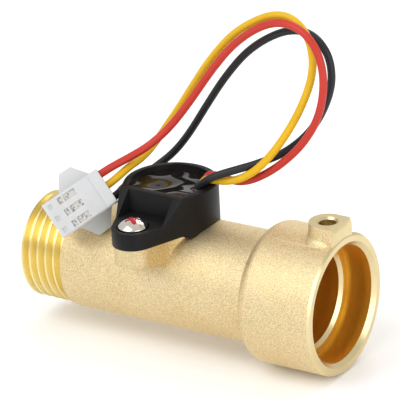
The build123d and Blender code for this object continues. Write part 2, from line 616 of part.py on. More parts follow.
def bush(face_x, inward):
    """Flanged bush pressed into the impeller's end at face_x. It reaches inward, +1 or -1 along X."""
    start = face_x if inward > 0 else face_x - BUSH_LENGTH
    flange_start = face_x - BUSH_FLANGE if inward > 0 else face_x
    sleeve = rod(BUSH_OUTER_R - FIT, start, BUSH_LENGTH) + rod(BUSH_FLANGE_R, flange_start, BUSH_FLANGE)
    return sleeve - rod(BUSH_INNER_R, start - BUSH_FLANGE, BUSH_LENGTH + 2 * BUSH_FLANGE)


def rotor_shaft():
    start = GUIDE_HUB_END - SHAFT_GRIP
    return rod(SHAFT_R, start, BRACKET_HUB_START + SHAFT_GRIP - start)


def outlet_bracket():
    """Ring with a hub on straight arms, which holds the shaft's rear end."""
    bracket = ring(CHAMBER_R - FIT, CHAMBER_R - RING_THICKNESS, BRACKET_RING_START, BRACKET_LENGTH)
    hub_end = BRACKET_HUB_START + BRACKET_HUB_LENGTH
    hub = turned(
        [(BRACKET_HUB_START, 0), (BRACKET_HUB_START, BRACKET_HUB_R), (hub_end, BRACKET_HUB_R), (hub_end, 0)],
        {(hub_end, BRACKET_HUB_R): BRACKET_HUB_ROUND},
    )
    bracket = bracket + hub
    reach = CHAMBER_R - RING_THICKNESS + VANE_ROOT
    for index in range(BRACKET_ARMS):
        arm = Pos(BRACKET_RING_START + BRACKET_LENGTH / 2, 0, reach / 2) * Box(
            BRACKET_LENGTH, BRACKET_ARM_WIDTH, reach,
        )
        bracket = bracket + Rot(index * 360 / BRACKET_ARMS, 0, 0) * arm
    return bracket - rod(SHAFT_R + FIT, BRACKET_HUB_START, SHAFT_GRIP)


def retaining_ring():
    """Inner spring ring, open at the bottom, with an ear with a hole at each end."""
    clip = ring(CLIP_OUTER_R, CLIP_INNER_R, CLIP_X + FIT, CLIP_THICKNESS - 2 * FIT)
    half = CLIP_OPENING_DEG / 2
    far = 2 * CHAMBER_R
    spread = far * tan(radians(half))
    wedge = make_face(Polyline((0, 0), (-spread, -far), (spread, -far), close=True))
    sheet = Plane((CLIP_X, 0, 0), x_dir=(0, 1, 0), z_dir=(1, 0, 0)) * wedge
    clip = clip - extrude(sheet, CLIP_THICKNESS, dir=(1, 0, 0))
    ear_angle = radians(half + CLIP_EAR_TURN_DEG)
    ear_centre_r = CLIP_INNER_R - CLIP_EAR_INSET
    for side in (-1, 1):
        y = side * ear_centre_r * sin(ear_angle)
        z = -ear_centre_r * cos(ear_angle)
        plane = Plane((CLIP_X + FIT, y, z), z_dir=(1, 0, 0))
        clip = clip + Solid.make_cylinder(CLIP_EAR_R, CLIP_THICKNESS - 2 * FIT, plane)
        clip = clip - Solid.make_cylinder(CLIP_EAR_HOLE_R, CLIP_THICKNESS, plane)
    return clip & rod(CLIP_OUTER_R, CLIP_X, CLIP_THICKNESS)


def build():
    pieces = {
        "brass_body": brass_body(),
        "sensor_housing": sensor_housing(),
        "mounting_screw": mounting_screw(),
        "inlet_guide": inlet_guide(),
        "impeller": impeller(),
        "rotor_magnet": rotor_magnet(),
        "front_bush": bush(IMPELLER_X, 1),
        "rear_bush": bush(IMPELLER_END, -1),
        "rotor_shaft": rotor_shaft(),
        "outlet_bracket": outlet_bracket(),
        "retaining_ring": retaining_ring(),
        "connector_housing": connector_housing(),
    }
    pieces.update(board_parts())
    for name in ROUTES:
        pieces[name] = wire(name)
    for index, y in enumerate(contact_places()):
        pieces[f"contact_{index + 1}"] = contact(y)
    pieces["potting_compound"] = potting(pieces)
    return pieces


os.makedirs("parts", exist_ok=True)
for node, shape in build().items():
    export_step(shape, f"parts/{node}.step")
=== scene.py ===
import math
import bpy
from mathutils import Matrix, Vector


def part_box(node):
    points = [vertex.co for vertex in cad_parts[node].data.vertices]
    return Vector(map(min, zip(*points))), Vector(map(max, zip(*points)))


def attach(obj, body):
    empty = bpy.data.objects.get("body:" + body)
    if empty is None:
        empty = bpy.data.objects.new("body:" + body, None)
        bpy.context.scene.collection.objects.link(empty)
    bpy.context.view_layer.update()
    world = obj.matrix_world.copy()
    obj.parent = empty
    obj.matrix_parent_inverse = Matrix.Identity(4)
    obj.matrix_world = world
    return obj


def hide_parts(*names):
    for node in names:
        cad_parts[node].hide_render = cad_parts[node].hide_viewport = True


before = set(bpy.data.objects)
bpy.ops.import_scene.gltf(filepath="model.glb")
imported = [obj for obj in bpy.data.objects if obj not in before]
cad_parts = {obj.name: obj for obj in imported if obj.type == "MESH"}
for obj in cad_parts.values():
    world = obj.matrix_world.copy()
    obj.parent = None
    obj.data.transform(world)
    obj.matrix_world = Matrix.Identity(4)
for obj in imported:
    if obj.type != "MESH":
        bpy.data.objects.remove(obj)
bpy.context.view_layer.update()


# The camera stands off the cup's ear side, above the socket's mouth and far away with a long lens, as the
# photograph's flat perspective asks for.
camera = bpy.data.objects.new("studio_camera", bpy.data.cameras.new("studio_camera"))
bpy.context.scene.collection.objects.link(camera)
camera.data.lens = 297.44
camera.data.sensor_width = 36
camera.data.clip_end = 20
turn = Matrix.Rotation(math.radians(33.176), 4, "Z")
tilt = Matrix.Rotation(math.radians(90 - 23.202), 4, "X")
roll = Matrix.Rotation(math.radians(-2.941), 4, "Z")
camera.matrix_world = Matrix.Translation((0.34682, -0.47601, 0.2591)) @ turn @ tilt @ roll
bpy.context.scene.camera = camera


# Three leads of thin stranded copper in PVC insulation. They come out of the cup's resin, bend over its
# rim, rise in one loop above the tube and end in the connector's crimp contacts.
def linear(code):
    """A hex colour of the sRGB scale as the linear colour that a shader takes."""
    parts = [int(code[start:start + 2], 16) / 255 for start in (1, 3, 5)]
    straight = [part / 12.92 if part <= 0.04045 else ((part + 0.055) / 1.055) ** 2.4 for part in parts]
    return (*straight, 1.0)


def add(finish, kind, links=None, **settings):
    """Adds one shader node with its settings. An input given as a socket is linked, others are values."""
    made = finish.node_tree.nodes.new(kind)
    for name, value in settings.items():
        setattr(made, name, value)
    for name, value in (links or {}).items():
        if isinstance(value, bpy.types.NodeSocket):
            finish.node_tree.links.new(value, made.inputs[name])
        else:
            made.inputs[name].default_value = value
    return made


def finish_of(name, metallic, roughness, **sockets):
    """A new finish, its shader, and the place on the piece that its patterns follow."""
    finish = bpy.data.materials.new(name)
    finish.use_nodes = True
    shader = finish.node_tree.nodes["Principled BSDF"]
    shader.inputs["Metallic"].default_value = metallic
    shader.inputs["Roughness"].default_value = roughness
    for socket, value in sockets.items():
        shader.inputs[socket.replace("_", " ")].default_value = value
    place = add(finish, "ShaderNodeTexCoord").outputs["Object"]
    return finish, shader, place


def per_mm(size):
    """The scale of a texture whose grains are that many millimetres across."""
    return 1000 / size


def dress(piece, *finishes):
    """Gives a piece its finishes, in place of those that it came with."""
    piece.data.materials.clear()
    for finish in finishes:
        piece.data.materials.append(finish)


def mottle(finish, place, grain, detail, light, deep):
    """Two colours in clouds of that many millimetres: the clouds, and the colour that they mix."""
    clouds = add(finish, "ShaderNodeTexNoise", {"Vector": place, "Scale": per_mm(grain), "Detail": detail})
    colour = add(finish, "ShaderNodeMix",
                 {"Factor": clouds.outputs["Fac"], "A": linear(light), "B": linear(deep)}, data_type="RGBA")
    return clouds, colour


def feed(finish, shader, colour, rough=None, relief=None):
    """Links a finish's colour, and its roughness and relief where it has them, to its shader."""
    links = finish.node_tree.links
    links.new(colour.outputs["Result"], shader.inputs["Base Color"])
    if rough:
        links.new(rough.outputs["Result"], shader.inputs["Roughness"])
    if relief:
        links.new(relief.outputs["Normal"], shader.inputs["Normal"])


def insulation(name, shade, deep):
    """Extruded PVC: an even satin colour with a fine grain, duller where it was handled."""
    finish, shader, place = finish_of(name, 0.0, 0.42, Specular_IOR_Level=0.34)
    handled, colour = mottle(finish, place, 6, 3.0, shade, deep)
    dull = add(finish, "ShaderNodeMapRange",
               {"Value": handled.outputs["Fac"], "To Min": 0.36, "To Max": 0.5})
    grain = add(finish, "ShaderNodeTexNoise", {"Vector": place, "Scale": per_mm(0.35), "Detail": 2.0})
    relief = add(finish, "ShaderNodeBump",
                 {"Height": grain.outputs["Fac"], "Strength": 0.12, "Distance": 0.00004})
    feed(finish, shader, colour, dull, relief)
    return finish


routes = {
    "red": [
        (0.0157, -0.00738, 0.01819), (0.01746, -0.00553, 0.01956), (0.0189, -0.0039, 0.0206),
        (0.0209, -0.0008, 0.0217), (0.0232, 0.0026, 0.0232), (0.0263, 0.0054, 0.0265),
        (0.0302, 0.0069, 0.032), (0.0347, 0.0073, 0.0385), (0.0399, 0.0072, 0.0447),
        (0.0463, 0.0067, 0.0495), (0.0517, 0.0061, 0.0513), (0.0563, 0.0056, 0.0503),
        (0.0595, 0.0052, 0.0468), (0.0607, 0.0049, 0.0414), (0.0595, 0.0047, 0.0346),
        (0.0559, 0.00475, 0.0286), (0.0512, 0.0048, 0.0238), (0.0468, 0.0047, 0.0205),
        (0.043, 0.004, 0.01875), (0.04, 0.0035, 0.0189), (0.0378, 0.00335, 0.0194),
        (0.0357, 0.00355, 0.01925), (0.0342, 0.0038, 0.0174), (0.0328, 0.0039, 0.0152),
    ],
    "yellow": [
        (0.01723, -0.00739, 0.01622), (0.01899, -0.00553, 0.01759), (0.0201, -0.0038, 0.0188),
        (0.0207, -0.0008, 0.0198), (0.021, 0.003, 0.0201), (0.0215, 0.0064, 0.0215),
        (0.0228, 0.0085, 0.0243), (0.0252, 0.0095, 0.028), (0.0288, 0.0097, 0.0335),
        (0.0334, 0.0095, 0.0401), (0.0391, 0.0091, 0.0463), (0.0457, 0.0086, 0.0505),
        (0.0503, 0.00825, 0.0518), (0.0539, 0.0078, 0.0509), (0.0567, 0.0073, 0.0476),
        (0.0574, 0.0067, 0.042), (0.0549, 0.0059, 0.0348), (0.0511, 0.0048, 0.028), (0.0474, 0.0032, 0.023),
        (0.0438, 0.0024, 0.0203), (0.0406, 0.00195, 0.01925), (0.038, 0.00175, 0.01915),
        (0.0359, 0.00195, 0.019), (0.0344, 0.0022, 0.01715), (0.033, 0.0023, 0.01505),
    ],
    "black": [
        (0.01877, -0.00739, 0.01425), (0.02086, -0.00519, 0.01587), (0.0194, -0.0019, 0.0155),
        (0.0188, 0.0016, 0.0147), (0.019, 0.0052, 0.0149), (0.0207, 0.0086, 0.0164),
        (0.0234, 0.0107, 0.0189), (0.0267, 0.0113, 0.0232), (0.0306, 0.0113, 0.0292),
        (0.0354, 0.0111, 0.0362), (0.0412, 0.0106, 0.0428), (0.0483, 0.01, 0.0475),
        (0.0536, 0.0095, 0.0489), (0.0574, 0.009, 0.0477), (0.0601, 0.0085, 0.0442),
        (0.0604, 0.0079, 0.0386), (0.0568, 0.0074, 0.0309), (0.0511, 0.007, 0.0253),
        (0.0459, 0.0047, 0.0228), (0.0421, 0.0022, 0.0217), (0.0394, 0.0007, 0.0208),
        (0.0372, 0.00025, 0.01965), (0.0354, 0.0003, 0.01795), (0.0339, 0.00045, 0.0163),
        (0.0328, 0.0005, 0.01495),
    ],
}
lead_diameter = 0.0015
lead_shades = {
    "red": ("#C23426", "#B02B20"), "yellow": ("#DFB40C", "#CE9F08"), "black": ("#202126", "#18191D"),
}
resin_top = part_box("potting_compound")[1].z
for colour_name, points in routes.items():
    line = bpy.data.curves.new(f"{colour_name}_lead", "CURVE")
    line.dimensions = "3D"
    line.bevel_depth = lead_diameter / 2
    line.bevel_resolution = 6
    line.resolution_u = 12
    line.use_fill_caps = True
    spline = line.splines.new("NURBS")
    spline.points.add(len(points) - 1)
    for spot, point in zip(spline.points, points):
        spot.co = (*point, 1)
    spline.order_u = 3
    spline.use_endpoint_u = True
    lead = bpy.data.objects.new(f"{colour_name}_lead", line)
    bpy.context.scene.collection.objects.link(lead)
    dress(lead, insulation(f"pvc_{colour_name}", *lead_shades[colour_name]))
    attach(lead, "meter")
    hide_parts(f"wire_{colour_name}")


# The body is one sand cast brass piece. Its skin was blasted to a fine matte grain, and the pipe thread, both
# ends, the waterway and the boss were then machined bright.
def only(piece):
    """Makes one object the selected and active one."""
    bpy.ops.object.select_all(action="DESELECT")
    piece.select_set(True)
    bpy.context.view_layer.objects.active = piece


def joined_copy(name, node):
    """A copy of a node's mesh whose loose triangles are joined, so that it can be shaped."""
    piece = bpy.data.objects.new(name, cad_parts[node].data.copy())
    bpy.context.scene.collection.objects.link(piece)
    only(piece)
    bpy.ops.object.mode_set(mode="EDIT")
    bpy.ops.mesh.select_all(action="SELECT")
    bpy.ops.mesh.remove_doubles(threshold=0.000002)
    bpy.ops.object.mode_set(mode="OBJECT")
    bpy.ops.mesh.customdata_custom_splitnormals_clear()
    return piece


def apply_all(piece):
    """Applies a piece's modifiers in their order."""
    only(piece)
    for modifier in list(piece.modifiers):
        bpy.ops.object.modifier_apply(modifier=modifier.name)


def wound(name, section, turns=1, steps=256, pitch=0):
    """A cutter from a section's corners, given along and out from the body's axis, wound about that axis."""
    bpy.ops.mesh.primitive_circle_add(vertices=len(section), radius=1, location=(0, 0, 0))
    cutter = bpy.context.object
    cutter.name = name
    for vertex, (along, out) in zip(cutter.data.vertices, section):
        vertex.co = (along, -out, 0)
    winding = cutter.modifiers.new("winding", "SCREW")
    winding.axis = "X"
    winding.angle = math.radians(360 * turns)
    winding.screw_offset = pitch * turns
    winding.steps = winding.render_steps = steps
    winding.use_merge_vertices = turns == 1
    apply_all(cutter)
    return cutter


def work(piece, tool, operation="DIFFERENCE"):
    """Cuts a tool's closed form out of the piece, or joins it on with UNION, and removes the tool."""
    only(tool)
    bpy.ops.object.mode_set(mode="EDIT")
    bpy.ops.mesh.select_all(action="SELECT")
    bpy.ops.mesh.fill_holes(sides=0)
    bpy.ops.mesh.normals_make_consistent(inside=False)
    bpy.ops.object.mode_set(mode="OBJECT")
    worked = piece.modifiers.new("worked", "BOOLEAN")
    worked.operation = operation
    worked.solver = "EXACT"
    worked.object = tool
    apply_all(piece)
    bpy.data.objects.remove(tool)


body = joined_copy("blasted_brass_body", "brass_body")

# The blank of the thread is turned down as far as a sharp step in the cast skin.
blank_start, thread_end = 0.0074, 0.01006
blank_reach, past_skin = 0.010378, 0.0125
blank = [(blank_start, past_skin), (blank_start, blank_reach),
         (thread_end, blank_reach), (thread_end, past_skin)]
work(body, wound("blank_cutter", blank))

# The shoulder between the tube and the socket is short and steep, with a small fillet at its foot and a full
# round at its top.
foot_x, shoulder_x = 0.0501, 0.05095
foot_reach, socket_reach = 0.01088, 0.01357
foot_fillet, top_round = 0.0006, 0.00275
foot_steps, top_steps = 4, 12
cutter_start, past_socket = 0.046, 0.0142
steepness = math.atan2(socket_reach - foot_reach, shoulder_x - foot_x)
foot_centre = foot_x - foot_fillet * math.tan(steepness / 2), foot_reach + foot_fillet
top_centre = shoulder_x + top_round * math.tan(steepness / 2), socket_reach - top_round
shoulder = [(cutter_start, past_socket), (cutter_start, foot_reach)]
for turned in range(foot_steps + 1):
    angle = steepness * turned / foot_steps
    along, out = foot_fillet * math.sin(angle), foot_fillet * math.cos(angle)
    shoulder.append((foot_centre[0] + along, foot_centre[1] - out))
for turned in range(top_steps + 1):
    angle = steepness * (1 - turned / top_steps)
    along, out = top_round * math.sin(angle), top_round * math.cos(angle)
    shoulder.append((top_centre[0] - along, top_centre[1] + out))
shoulder.append((top_centre[0], past_socket))
work(body, wound("shoulder_cutter", shoulder))

# The boss is round at its back only: its sides run straight on to the bevelled flat at the mouth. Each side
# is a block that tapers upwards, with its height, its front and half the boss's width at three levels. Its
# inner side stays within the round boss, clear of the hole.
boss_x = 0.0632
levels = [(0.0123, 0.06622, 0.0037), (0.0153, 0.06622, 0.00355), (0.01627, 0.06587, 0.0035)]
for side in (-1, 1):
    bpy.ops.mesh.primitive_circle_add(vertices=5, radius=1, fill_type="NGON", location=(0, 0, 0))
    corner = bpy.context.object
    bpy.ops.object.mode_set(mode="EDIT")
    for _ in levels[1:]:
        bpy.ops.mesh.extrude_region_move(TRANSFORM_OT_translate={"value": (0, 0, 1)})
    bpy.ops.object.mode_set(mode="OBJECT")
    for vertex in corner.data.vertices:
        height, front, half = levels[round(vertex.co.z)]
        outline = [(boss_x, half), (front, half), (front, 0.0016), (0.0652, 0.0023), (boss_x, 0.0029)]
        way_round = 0.5 + math.atan2(vertex.co.y, vertex.co.x) / math.tau
        along, across = outline[int(way_round * len(outline))]
        vertex.co = (along, side * across, height)
    work(body, corner, "UNION")

# The groove starts ahead of the end face and follows a right-hand helix. Over its last eighth of a turn the
# die was lifted out of the metal, on the far side of the body.
thread_pitch = 0.001814
past_crest, thread_root = 0.0106, 0.00926
flank = math.tan(math.radians(27.5))
groove_x = 0.00185 - 2 * thread_pitch
root_half = 0.00013
crest_half = root_half + (past_crest - thread_root) * flank
groove = [(groove_x - crest_half, past_crest), (groove_x - root_half, thread_root),
          (groove_x + root_half, thread_root), (groove_x + crest_half, past_crest)]
lifted_by, lifted_rings = 0.0013, 8
die = wound("thread_cutter", groove, turns=6.34, steps=406, pitch=thread_pitch)
rings = len(die.data.vertices) // len(groove)
for vertex in die.data.vertices:
    lift = max(0.0, (vertex.index // len(groove) - (rings - 1 - lifted_rings)) / lifted_rings)
    out = math.hypot(vertex.co.y, vertex.co.z)
    vertex.co.y *= 1 + lift * lifted_by / out
    vertex.co.z *= 1 + lift * lifted_by / out
work(body, die)


def turning_marks(finish, place, spacing, depth):
    """Rings of a lathe tool about the body's axis, that many millimetres apart, on faces and walls alike."""
    radians_per_unit = 20
    scale = per_mm(spacing) * math.tau / radians_per_unit
    waviness = {"Vector": place, "Scale": scale, "Distortion": 0.4, "Detail": 1.0}
    rings_out = add(finish, "ShaderNodeTexWave", waviness, wave_type="RINGS", rings_direction="X")
    bands = add(finish, "ShaderNodeTexWave", waviness, wave_type="BANDS", bands_direction="X")
    both = add(finish, "ShaderNodeMath",
               {0: rings_out.outputs["Fac"], 1: bands.outputs["Fac"]}, operation="ADD")
    return add(finish, "ShaderNodeBump", {"Height": both.outputs[0], "Strength": 0.25, "Distance": depth})


# Blasted cast brass: a matte, pale gold skin of fine grains, a little browner in places where the sand left
# it rougher. The real grit is about 0.1 mm; it is drawn at 0.25 mm, the finest that the picture can show.
def cast_brass(name, light, deep, roughness):
    """Cast brass with pits between its grains, as rough as the blasting or the rubbing left it."""
    finish, shader, place = finish_of(name, 1.0, roughness)
    grit = add(finish, "ShaderNodeTexNoise",
               {"Vector": place, "Scale": per_mm(0.25), "Detail": 3.0, "Roughness": 0.7})
    skin = mottle(finish, place, 9, 3.0, light, deep)[1]
    pits = add(finish, "ShaderNodeMapRange",
               {"Value": grit.outputs["Fac"], "From Min": 0.36, "From Max": 0.6,
                "To Min": 0.64, "To Max": 1.0})
    pitted = add(finish, "ShaderNodeMix",
                 {"Factor": 1.0, "A": skin.outputs["Result"], "B": pits.outputs["Result"]},
                 data_type="RGBA", blend_type="MULTIPLY")
    rough = add(finish, "ShaderNodeMapRange",
                {"Value": grit.outputs["Fac"], "To Min": roughness - 0.06, "To Max": roughness + 0.1})
    bumps = add(finish, "ShaderNodeBump",
                {"Height": grit.outputs["Fac"], "Strength": 0.9, "Distance": 0.0001})
    feed(finish, shader, pitted, rough, bumps)
    return finish


cast = cast_brass("blasted_cast_brass", "#F5E3B9", "#E9D09C", 0.48)

# The lug's flank: the same cast brass, a little smoother, in darker colours that are painted shade on the
# lug.
smooth_shaded_cast = cast_brass("smooth_shaded_cast_brass", "#EDDBB2", "#DAC28E", 0.42)


# Machined brass: a brighter metal with rings from the tool. The real ones are finer than the picture can
# show, so broad soft ones stand for them. The thread is a clear yellow, the end faces and the boss are paler,
# and the waterway is a deep orange because light bounces many times in it.
def machined_brass(name, light, deep, smooth, rough, spacing, depth):
    """Turned brass, a little stained, with its roughness between two values and its rings that far apart."""
    finish, shader, place = finish_of(name, 1.0, rough)
    stain, colour = mottle(finish, place, 5, 4.0, light, deep)
    worn = add(finish, "ShaderNodeMapRange",
               {"Value": stain.outputs["Fac"], "To Min": smooth, "To Max": rough})
    feed(finish, shader, colour, worn, turning_marks(finish, place, spacing, depth))
    return finish


threaded = machined_brass("die_cut_brass", "#F2E2A2", "#E8D290", 0.24, 0.32, 1.885, 0.00001)
faced = machined_brass("faced_brass", "#E6D5A8", "#D4C08E", 0.24, 0.36, 1.885, 0.00002)
bored = machined_brass("bored_brass", "#F2BC4A", "#E8AE3E", 0.4, 0.5, 3.1416, 0.0002)

# Each face takes the finish of the tool that reached it, told by where the face lies and which way it looks.
brasses = [cast, smooth_shaded_cast, threaded, faced, bored]
dress(body, *brasses)
mouth_x, boss_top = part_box("brass_body")[1].x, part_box("brass_body")[1].z
ear_x = (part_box("mounting_screw")[0].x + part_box("mounting_screw")[1].x) / 2
seat_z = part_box("sensor_housing")[0].z + 0.0009
end_depth, rim_depth = 0.0008, 0.00095
inlet_reach, root_reach, tube_reach = 0.0081, 0.0083, 0.01105
step_back, step_front, step_reach = 0.0595, 0.0604, 0.01125
hole_reach, hole_low, boss_low, boss_back = 0.0022, 0.0113, 0.0138, 0.059
lug_front, lug_half = -0.0085, 0.0055
bore_start, tube_bore, socket_start, socket_bore = 0.0003, 0.0099, 0.0602, 0.0114
hair, seat_skin, boss_skin = 0.00001, 0.0001, 0.0002
for face in body.data.polygons:
    middle, way = face.center, face.normal
    reach = math.hypot(middle.y, middle.z)
    to_mouth, flat_up = way.x > 0.4, way.z > 0.98
    end_face = middle.x < end_depth and (way.x < -0.5 or reach < inlet_reach)
    thread = middle.x < thread_end - hair and reach > root_reach
    rim = middle.x > mouth_x - rim_depth and to_mouth
    socket_step = step_back < middle.x < step_front and reach < step_reach and to_mouth
    boss_hole = math.hypot(middle.x - boss_x, middle.y) < hole_reach and middle.z > hole_low
    boss_face = flat_up and middle.z > boss_top - boss_skin or to_mouth
    boss_cut = middle.z > boss_low and middle.x > boss_back and boss_face
    below_seat = middle.z < seat_z + seat_skin and reach > tube_reach
    lug = middle.y < lug_front and abs(middle.x - ear_x) < lug_half and below_seat
    waterway = reach < tube_bore or middle.x > socket_start
    inside = reach < socket_bore and middle.x > bore_start and waterway
    if end_face or rim or socket_step or boss_hole or boss_cut:
        skin = faced
    elif thread:
        skin = threaded
    elif inside:
        skin = bored
    # The lug's brass is darker than the rest of the cast skin: painted shade.
    elif lug:
        skin = smooth_shaded_cast
    else:
        skin = cast
    face.material_index = brasses.index(skin)
only(body)
bpy.ops.object.shade_smooth_by_angle(angle=math.radians(32))
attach(body, "meter")
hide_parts("brass_body")


# The sensor cup is moulded in black plastic, with a screw ear and a pocket above it. Its edges are slightly
# rounded by the mould, and its faces have a fine satin texture.
def softened_copy(name, node, round_by, steps=2):
    """A joined copy of a node with flat faces whole again and its sharp edges rounded."""
    piece = joined_copy(name, node)
    bpy.ops.object.mode_set(mode="EDIT")
    bpy.ops.mesh.select_all(action="SELECT")
    bpy.ops.mesh.dissolve_limited(angle_limit=math.radians(0.4))
    bpy.ops.object.mode_set(mode="OBJECT")
    edges = piece.modifiers.new("edges", "BEVEL")
    edges.width = round_by
    edges.segments = steps
    edges.limit_method = "ANGLE"
    edges.angle_limit = math.radians(35)
    edges.use_clamp_overlap = True
    apply_all(piece)
    bpy.ops.object.shade_smooth_by_angle(angle=math.radians(40))
    return piece


cup = softened_copy("moulded_cup", "sensor_housing", 0.00024)
moulded, moulded_shader, moulded_place = finish_of("moulded_black_abs", 0.0, 0.4, Specular_IOR_Level=0.2)
texture = add(moulded, "ShaderNodeTexNoise", {"Vector": moulded_place, "Scale": per_mm(0.3), "Detail": 3.0})
rubbed, moulded_colour = mottle(moulded, moulded_place, 5, 4.0, "#0A0A0B", "#101011")
moulded_rough = add(moulded, "ShaderNodeMapRange",
                    {"Value": rubbed.outputs["Fac"], "To Min": 0.36, "To Max": 0.52})
moulded_relief = add(moulded, "ShaderNodeBump",
                     {"Height": texture.outputs["Fac"], "Strength": 0.4, "Distance": 0.00006})
feed(moulded, moulded_shader, moulded_colour, moulded_rough, moulded_relief)
dress(cup, moulded)
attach(cup, "meter")
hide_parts("sensor_housing")


# The cup is filled with black epoxy. It set with a mirror gloss and slow waves, and it climbs the leads in
# small collars.
epoxy, epoxy_shader, epoxy_place = finish_of("poured_black_epoxy", 0.0, 0.06, IOR=1.57)
waves, epoxy_colour = mottle(epoxy, epoxy_place, 5.5, 0.0, "#120F0E", "#1C1715")
dust = add(epoxy, "ShaderNodeTexNoise", {"Vector": epoxy_place, "Scale": per_mm(0.6), "Detail": 2.0})
epoxy_rough = add(epoxy, "ShaderNodeMapRange",
                  {"Value": dust.outputs["Fac"], "To Min": 0.03, "To Max": 0.09})
epoxy_relief = add(epoxy, "ShaderNodeBump",
                   {"Height": waves.outputs["Fac"], "Strength": 1.0, "Distance": 0.0016})
feed(epoxy, epoxy_shader, epoxy_colour, epoxy_rough, epoxy_relief)
dress(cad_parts["potting_compound"], epoxy)
collar_radius = lead_diameter * 0.86
collar_rings = ((0.72, 0.00012), (0.84, 0.00016), (0.94, 0.00026))
for colour_name, points in routes.items():
    above = next(i for i in reversed(range(len(points))) if points[i][2] > resin_top)
    high, low = Vector(points[above]), Vector(points[above + 1])
    foot = high.lerp(low, (high.z - resin_top) / (high.z - low.z))
    rise = (high - low).normalized()
    bpy.ops.mesh.primitive_circle_add(vertices=32, radius=collar_radius, location=(0, 0, 0))
    collar = bpy.context.object
    collar.name = f"epoxy_collar_{colour_name}"
    bpy.ops.object.mode_set(mode="EDIT")
    for wide, climb in collar_rings:
        bpy.ops.mesh.extrude_edges_move(TRANSFORM_OT_translate={"value": (0, 0, climb)})
        bpy.ops.transform.resize(value=(wide, wide, 1), center_override=(0, 0, 0))
    bpy.ops.mesh.select_all(action="SELECT")
    bpy.ops.mesh.normals_make_consistent(inside=False)
    bpy.ops.object.mode_set(mode="OBJECT")
    lean = Vector((rise.x / rise.z, rise.y / rise.z))
    for vertex in collar.data.vertices:
        height = vertex.co.z
        vertex.co.x += foot.x + lean.x * height
        vertex.co.y += foot.y + lean.y * height
        vertex.co.z += foot.z
    bpy.ops.object.shade_smooth_by_angle(angle=math.radians(60))
    dress(collar, epoxy)
    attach(collar, "meter")


# One pan head screw, bright nickel plated, holds the cup's ear to the lug. A drop of red sealing paint in its
# cross recess shows that it was set.
screw = softened_copy("plated_screw", "mounting_screw", 0.00012, steps=3)
nickel, nickel_shader, nickel_place = finish_of("bright_nickel_plate", 1.0, 0.1)
handling, nickel_colour = mottle(nickel, nickel_place, 1.5, 4.0, "#EFEAE2", "#C9C1B5")
nickel_rough = add(nickel, "ShaderNodeMapRange",
                   {"Value": handling.outputs["Fac"], "To Min": 0.05, "To Max": 0.16})
feed(nickel, nickel_shader, nickel_colour, nickel_rough)
dress(screw, nickel)
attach(screw, "meter")
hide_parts("mounting_screw")

lacquer, lacquer_shader, lacquer_place = finish_of("red_sealing_lacquer", 0.0, 0.2, IOR=1.5)
pool, lacquer_colour = mottle(lacquer, lacquer_place, 0.8, 2.0, "#B9101A", "#8C0A12")
lacquer_relief = add(lacquer, "ShaderNodeBump",
                     {"Height": pool.outputs["Fac"], "Strength": 0.4, "Distance": 0.0001})
feed(lacquer, lacquer_shader, lacquer_colour, relief=lacquer_relief)
screw_low, screw_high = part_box("mounting_screw")
screw_x = (screw_low.x + screw_high.x) / 2
screw_y = (screw_low.y + screw_high.y) / 2
dome_radius = 0.00355
drop_reach, drop_shift, drop_top, drop_depth = 0.0007, 0.00006, 0.00016, 0.0006
arm_reaches = {-45: 0.001, 45: 0.0005, 135: 0.0003, 225: 0.0005}
bpy.ops.mesh.primitive_uv_sphere_add(segments=64, ring_count=24, radius=1, location=(0, 0, 0))
drop = bpy.context.object
drop.name = "sealing_drop"
for vertex in drop.data.vertices:
    along, across, up = vertex.co
    bearing = math.atan2(across, along)
    spread = drop_reach
    for degrees, arm_reach in arm_reaches.items():
        spread += arm_reach * max(0.0, math.cos(bearing - math.radians(degrees))) ** 8
    shift_x = spread * along + drop_shift
    shift_y = spread * across - drop_shift
    fall = (shift_x ** 2 + shift_y ** 2) / (2 * dome_radius)
    vertex.co.x = screw_x + shift_x
    vertex.co.y = screw_y + shift_y
    vertex.co.z = screw_high.z - fall + (drop_top if up > 0 else drop_depth) * up
bpy.ops.object.shade_smooth()
dress(drop, lacquer)
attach(drop, "meter")


# The connector is a three-way housing of natural nylon with two guide wings. Tinned crimp contacts show in
# its windows.
shell = softened_copy("nylon_connector", "connector_housing", 0.00012)
toward_leads = Vector((0.6077, 0.6389, 0.4717)).normalized()
outward = Vector((0.503, -0.7693, 0.394)).normalized()
sideways = outward.cross(toward_leads)
window_face = Vector((0.01646, -0.01193, 0.01563))
mark_setback, connector_pitch = 0.00495, 0.0025
mark_size = Matrix.Diagonal((0.0008, 0.0009, 0.00045, 1))
shell_turn = Matrix((toward_leads, sideways, outward)).transposed().to_4x4()
for row in (-1, 0, 1):
    spot = window_face - toward_leads * mark_setback + sideways * row * connector_pitch
    bpy.ops.mesh.primitive_cube_add(size=1, location=(0, 0, 0))
    mark = bpy.context.object
    mark.data.transform(mark_size)
    mark.data.transform(Matrix.Translation(spot) @ shell_turn)
    work(shell, mark)
only(shell)
bpy.ops.object.shade_smooth_by_angle(angle=math.radians(40))
nylon, nylon_shader, nylon_place = finish_of("natural_nylon", 0.0, 0.4, IOR=1.53, Subsurface_Weight=0.25,
                                             Subsurface_Scale=0.0008)
flow, nylon_colour = mottle(nylon, nylon_place, 3, 3.0, "#C9CACA", "#BEBFC0")
nylon_rough = add(nylon, "ShaderNodeMapRange",
                  {"Value": flow.outputs["Fac"], "To Min": 0.34, "To Max": 0.46})
nylon_relief = add(nylon, "ShaderNodeBump",
                   {"Height": flow.outputs["Fac"], "Strength": 0.15, "Distance": 0.0001})
feed(nylon, nylon_shader, nylon_colour, nylon_rough, nylon_relief)
dress(shell, nylon)
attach(shell, "meter")
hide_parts("connector_housing")

